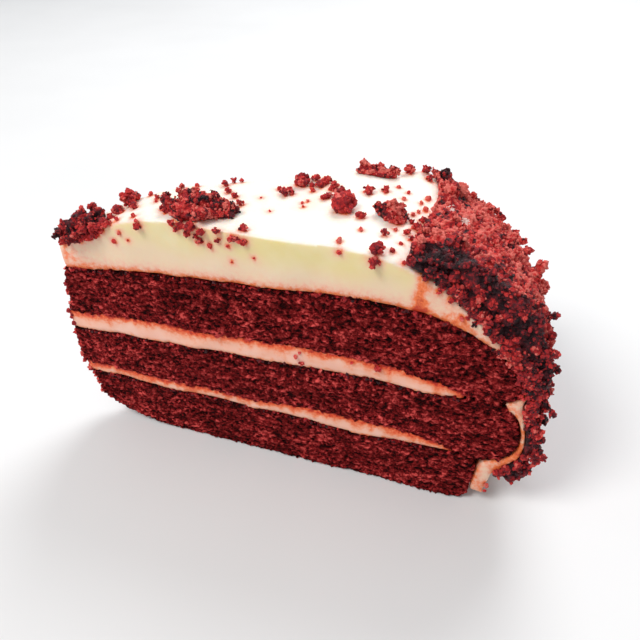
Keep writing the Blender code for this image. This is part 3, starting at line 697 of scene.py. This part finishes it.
def spread_tree(collection):
    """Geometry nodes that set a shape on each point, turned and sized by the point's own values."""
    tree = bpy.data.node_groups.new("spread", "GeometryNodeTree")
    tree.interface.new_socket("Geometry", in_out="INPUT", socket_type="NodeSocketGeometry")
    tree.interface.new_socket("Geometry", in_out="OUTPUT", socket_type="NodeSocketGeometry")
    start = tree.nodes.new("NodeGroupInput")
    end = tree.nodes.new("NodeGroupOutput")
    shapes = tree.nodes.new("GeometryNodeCollectionInfo")
    shapes.inputs["Collection"].default_value = collection
    shapes.inputs["Separate Children"].default_value = True
    spread = tree.nodes.new("GeometryNodeInstanceOnPoints")
    spread.inputs["Pick Instance"].default_value = True
    real = tree.nodes.new("GeometryNodeRealizeInstances")
    for name, socket, kind in (
        ("kind", "Instance Index", "INT"),
        ("turn", "Rotation", "FLOAT_VECTOR"),
        ("size", "Scale", "FLOAT_VECTOR"),
    ):
        value = tree.nodes.new("GeometryNodeInputNamedAttribute")
        value.data_type = kind
        value.inputs["Name"].default_value = name
        tree.links.new(value.outputs["Attribute"], spread.inputs[socket])
    tree.links.new(start.outputs[0], spread.inputs["Points"])
    tree.links.new(shapes.outputs[0], spread.inputs["Instance"])
    tree.links.new(spread.outputs[0], real.inputs[0])
    tree.links.new(real.outputs[0], end.inputs[0])
    return tree


def spread_crumbs(grains, tree, rng):
    """One mesh of crumbs from (place, radius, tone) grains."""
    bm = bmesh.new()
    kind = bm.verts.layers.int.new("kind")
    turn = bm.verts.layers.float_vector.new("turn")
    size = bm.verts.layers.float_vector.new("size")
    tones = bm.verts.layers.float.new("tone")
    for place, radius, tone in grains:
        vert = bmesh.ops.create_vert(bm, co=place)["vert"][0]
        vert[kind] = rng.randrange(SHAPES)
        vert[turn] = Vector([rng.uniform(0, math.tau) for _ in range(3)])
        vert[size] = Vector([radius * rng.uniform(0.75, 1.2) for _ in range(3)])
        vert[tones] = tone
    return applied(bm, "NODES", node_group=tree)


def crumb_height(place, lumps, seed):
    """Crags of a pile of crumbs, about -1 to 1: lumps of two sizes and a rough skin."""
    coarse = noise.voronoi(stretched(place, (lumps[0],) * 3, seed))[0][0]
    fine = noise.voronoi(stretched(place, (lumps[1],) * 3, seed))[0][0]
    return 0.95 - 1.15 * coarse - 0.75 * fine + 0.3 * noise.noise(place / 0.55)


def cut_shade_and_clumps(place):
    """Up to 0.75 along the coat's near cut, painted shade, and 1 in the dark clumps; 0 away from them."""
    # The crumbs along the near cut are painted darker: painted shade on the coat's cut side.
    near_cut = 1 - ease(-0.24, -0.19, polar(place)[1] + 0.06 * noise.noise(place / 4.0))
    dark = 0.75 * near_cut * ease(92, 98, polar(place)[0])
    for middle, spread, depth in CLUMPS:
        far = share_out(place, middle, spread)
        dark = max(dark, depth * (1 - ease(0.75, 1.1, far + 0.25 * noise.noise(place / 3.0))))
    return dark


def in_sliver(place):
    """Whether a sliver of frosting shows here."""
    return any(share_out(place, middle, spread) < 1 for middle, spread in SLIVERS)


def crumb_tone(place, seed):
    """Colour of a crumb, from 0, near-black, to 1, bright red, with painted light and shade in it."""
    patch = noise.noise(place / 6.5 + Vector((seed, 0, 0)))
    cell = noise.noise(place / 1.6 + Vector((0, seed, 0)))
    # Higher crumbs painted lighter, painted light from above; crumbs short of the coat darker in their own
    # colour.
    high = 0.14 * ease(20, 70, place.z) - 0.2 * (1 - ease(85, 95, polar(place)[0]))
    return (0.66 + 0.6 * patch + 0.75 * cell + high) * (1 - 0.72 * cut_shade_and_clumps(place))


def surface_grains(bm, count, sizes, rng, wanted, tone):
    """Grains set on random spots of a surface, many small and few large."""
    faces = [face for face in bm.faces if wanted(face.calc_center_median(), face.normal)]
    weights = np.cumsum([face.calc_area() for face in faces])
    grains = []
    for _ in range(count):
        face = faces[int(np.searchsorted(weights, rng.uniform(0, weights[-1])))]
        radius = within(sizes, rng, 2.6)
        place = face.calc_center_median() + face.normal * radius * rng.uniform(-0.3, 0.5)
        shade = tone(face)
        if shade < CREAMY:
            shade = min(BRIGHTEST, shade + rng.gauss(0.0, 0.26) * (1 - 0.7 * cut_shade_and_clumps(place)))
        grains.append((place, radius, shade))
    return grains


def lumped(grains, rng):
    """Each crumb as a torn lump: a core with smaller bits pressed into it."""
    found = []
    for place, radius, tone in grains:
        found.append((place, radius * 0.62, tone - 0.12))
        for _ in range(LUMP_BITS):
            way = any_way(rng)
            part = radius * rng.uniform(0.2, 0.42)
            found.append((place + way * (radius * 0.95 - part), part, tone + rng.gauss(0.06, 0.2)))
    return found


def make_pile(node, seed, light, kinds, bits, rng, material, below,
              face, lumps, relief, drawn, seated, hold, rim):
    """A coat or heap: a craggy core in place of its solid. Gives the kinds of loose grains over it.

    The last kind includes this many bits of frosting, where slivers of it show.
    """
    bm = even_faces(merged_copy(node), face, 1)

    def crag(place, normal):
        gap = gap_to(below, place)
        if gap < SEAT_GAP and normal.z < seated:
            return SEAT_SWELL
        share = max(hold, ease(SEAT_GAP, CLEAR_GAP, gap))
        return (relief * crumb_height(place, lumps, seed) - drawn) * share

    def tone(place, normal):
        # The core is painted darker in its hollows and darker than its loose grains overall: painted shade
        # in the gaps between crumbs.
        return crumb_tone(place, seed) + light + 0.45 * crumb_height(place, lumps, seed) - 0.26

    def grain_tone(face):
        vert = face.verts[0]
        # Loose grains are lighter than the core under them, so the core shows as painted shade in the gaps.
        return vert[bm.verts.layers.float["tone"]] + 0.42 * (1 - 0.5 * cut_shade_and_clumps(vert.co))

    paint(bm, "tone", tone)
    push(bm, crag)
    loose = [
        surface_grains(bm, count, sizes, rng, lambda place, normal: gap_to(below, place) > rim, grain_tone)
        for count, sizes in kinds
    ]
    if bits:
        loose[-1] += surface_grains(bm, bits, SLIVER_SIZES, rng,
                                    lambda place, normal: in_sliver(place), lambda face: CREAMY)
    finish(node + "_crumbs", bm, material, [node])
    return loose


def cluster(centre, radius, rng):
    """A lying crumb: one lump, or for a large one several pressed together."""
    if radius < 0.75:
        return [(centre, radius, rng.uniform(0.65, 0.95))]
    grains = [(centre, radius * 0.72, rng.uniform(0.35, 0.7))]
    for _ in range(int(4 + 7 * radius)):
        way = any_way(rng)
        way.z *= 0.75
        part = radius * rng.uniform(0.16, 0.42)
        grains.append((centre + way * (radius - part * 0.6), part, rng.uniform(0.3, 0.95)))
    return grains


def lying_grains(tree, solids, rng):
    """Crumbs that lie on the frosting or stick to the near cut and to the tip."""
    grains = []
    for x, y, radius in LYING_CRUMBS:
        spot = from_pole(x, y)
        hit = tree.ray_cast(Vector((spot.x, spot.y, 100.0)), DOWN)[0]
        if hit:
            grains += cluster(hit + Vector((0, 0, radius * 0.6)), radius, rng)
    for r, z, radius in STUCK_CRUMBS:
        spot = on_near_cut(r, z, 0.5)
        surface = solids.find_nearest(spot)[0]
        grains += cluster(surface + (spot - surface).normalized() * radius * 0.45, radius, rng)
    for _ in range(TIP_CRUMBS):
        spot = from_pole(rng.uniform(-1, 3), rng.uniform(-2.5, 1.5), rng.uniform(*TIP_HEIGHTS))
        surface, normal = solids.find_nearest(spot)[:2]
        radius = rng.uniform(*TIP_SIZES)
        grains.append((surface + normal * radius * 0.1, radius, rng.uniform(0.4, 0.95)))
    return grains


def edge_grains(rng):
    """Crumbs of the coat that hang over the frosting at the near cut, and lumps that stand out of it."""
    coat = tree_of("crumb_coat")
    grains = []
    last = len(EDGE_RADII) - 1
    for number in range(EDGE_CRUMBS + REACH_CRUMBS):
        inward = number >= EDGE_CRUMBS
        key = rng.uniform(*REACH_PART) if inward else rng.uniform(0, last)
        radius = within(EDGE_SIZES, rng, 1.8)
        r = float(np.interp(key, range(last + 1), EDGE_RADII)) + rng.gauss(0.4, 0.5) * EDGE_WANDER
        z = float(np.interp(key, range(last + 1), EDGE_HEIGHTS)) + rng.gauss(0.2, 0.5) * EDGE_WANDER
        if inward:
            r, z = r - REACH[0], z - REACH[1]
        place = on_near_cut(r, z, radius * rng.uniform(-0.4, 0.3))
        grain = (place, radius, crumb_tone(place, COAT_SEED) + rng.uniform(-0.1, 0.3))
        grains += lumped([grain], rng) if radius > 0.7 else [grain]
    for x, y, z, radius in PROUD_CRUMBS:
        place = from_pole(x, y, z)
        root = coat.find_nearest(place)[0]
        tone = crumb_tone(place, COAT_SEED)
        grains += lumped([(root.lerp(place, 0.3), radius, tone), (root, radius, tone - 0.1)], rng)
    return grains


# ---------------------------------------------------------------- setting

def make_floor():
    """Plain matt table top under the slice."""
    bm = bmesh.new()
    bmesh.ops.create_grid(bm, x_segments=1, y_segments=1, size=2.0)
    mesh = bpy.data.meshes.new("floor")
    bm.to_mesh(mesh)
    bm.free()
    floor = bpy.data.objects.new("floor", mesh)
    bpy.context.scene.collection.objects.link(floor)
    material, tree, shader, place = start_material("pale_table_top")
    cloud = add(tree, "TexNoise", {"Vector": place, "Scale": per_mm(120.0), "Detail": 3.0})
    tint = add(tree, "ValToRGB", {"Fac": cloud.outputs["Fac"]}, stops=((0.3, "#E5E6E7"), (0.7, "#EAEBEC")))
    tree.links.new(tint.outputs["Color"], shader.inputs["Base Color"])
    shader.inputs["Roughness"].default_value = 0.6
    mesh.materials.append(material)


def add_light(name, place, size, power, colour):
    """A round area light that points at the slice."""
    light = bpy.data.lights.new(name, "AREA")
    light.shape = "DISK"
    light.size = size
    light.energy = power
    light.color = linear(colour)[:3]
    obj = bpy.data.objects.new(name, light)
    obj.location = place
    obj.rotation_euler = (Vector(LIGHT_AIM) - Vector(place)).to_track_quat("-Z", "Y").to_euler()
    bpy.context.scene.collection.objects.link(obj)


def add_world():
    """Soft even light from all round."""
    world = bpy.data.worlds.new("soft_room")
    world.use_nodes = True
    background = world.node_tree.nodes["Background"]
    background.inputs["Color"].default_value = linear("#FAFBFD")
    background.inputs["Strength"].default_value = ROOM_LIGHT
    bpy.context.scene.world = world


def add_camera():
    """Camera a hand's breadth in front of the near cut, looking down on it."""
    camera = bpy.data.cameras.new("camera")
    camera.lens = CAMERA_LENS
    camera.sensor_width = 36.0
    camera.clip_start = 0.01
    obj = bpy.data.objects.new("camera", camera)
    right = Vector(CAMERA_RIGHT)
    up = Vector(CAMERA_UP)
    turn = Matrix((right, up, right.cross(up))).transposed().to_4x4()
    obj.matrix_world = Matrix.Translation(from_pole(*CAMERA_PLACE) * MM) @ turn
    bpy.context.scene.collection.objects.link(obj)
    bpy.context.scene.camera = obj


def build():
    """All pieces of the slice. Their order is also the order of the random draws."""
    sponge = sponge_material()
    # The stain ramps hold soaked-in red and a painted glow of light through the cream at the seams.
    filling = cream_material(
        "soaked_cream_filling", "#FBCCBC", "#F5B29A", "#F5B29A",
        ((0.0, "#F9CDB9"), (0.25, "#F7B292"), (0.5, "#F2875A"), (0.8, "#E4501F"), (1.0, "#B82812")), 0.42)
    icing = cream_material(
        "cream_cheese_frosting", "#F8F4EA", "#EDD6B4", "#E9D898",
        ((0.0, "#F5D0B4"), (0.3, "#F4B29E"), (0.65, "#F27C40"), (1.0, "#CC4022")), 0.4)
    crumbled = crumb_material()
    rng = random.Random(4)
    hanging = []
    for node, above, seed in SPONGES:
        hanging += make_sponge(node, above, seed, rng, sponge)
    for node, above, below, seed in FILLINGS:
        make_filling(node, above, below, seed, filling)
    frosted = levelled_frosting()
    solids = tree_of(
        "frosting", "sponge_top", "filling_upper", "sponge_middle", "filling_lower", "sponge_bottom")
    lying = lying_grains(BVHTree.FromBMesh(frosted), solids, rng)
    make_frosting(frosted, icing, lying)
    edge = edge_grains(rng)
    below = tree_of("frosting", "sponge_top", "sponge_middle", "sponge_bottom")
    tree = spread_tree(crumb_shapes())
    coarse, fine, dust = make_pile("crumb_coat", COAT_SEED, COAT_LIGHT, COAT_KINDS, SLIVER_BITS,
                                   rng, crumbled, below, **COAT_CORE)
    heaped = []
    for name, drawn, seed, light, kinds in HEAPS:
        large, small = make_pile("crumb_heap_" + name, seed, light, kinds, 0,
                                 rng, crumbled, below, drawn=drawn, **HEAP_CORE)
        heaped += lumped(large, rng) + small
    scattered = (
        ("lumped_coat_crumbs", lumped(coarse, rng)),
        ("fine_coat_crumbs", fine),
        ("dust_coat_crumbs", dust),
        ("edge_coat_crumbs", edge),
        ("heaped_crumbs", heaped),
        ("lying_crumbs", lying + hanging),
    )
    for name, grains in scattered:
        finish(name, spread_crumbs(grains, tree, rng), crumbled, smooth=False)
    shapes = bpy.data.collections["crumb_shapes"]
    for shape in list(shapes.objects):
        bpy.data.objects.remove(shape)
    bpy.data.collections.remove(shapes)
    bpy.data.node_groups.remove(tree)


build()
make_floor()
add_world()
for light in LIGHTS:
    add_light(*light)
add_camera()
bpy.context.scene.view_settings.view_transform = "Standard"
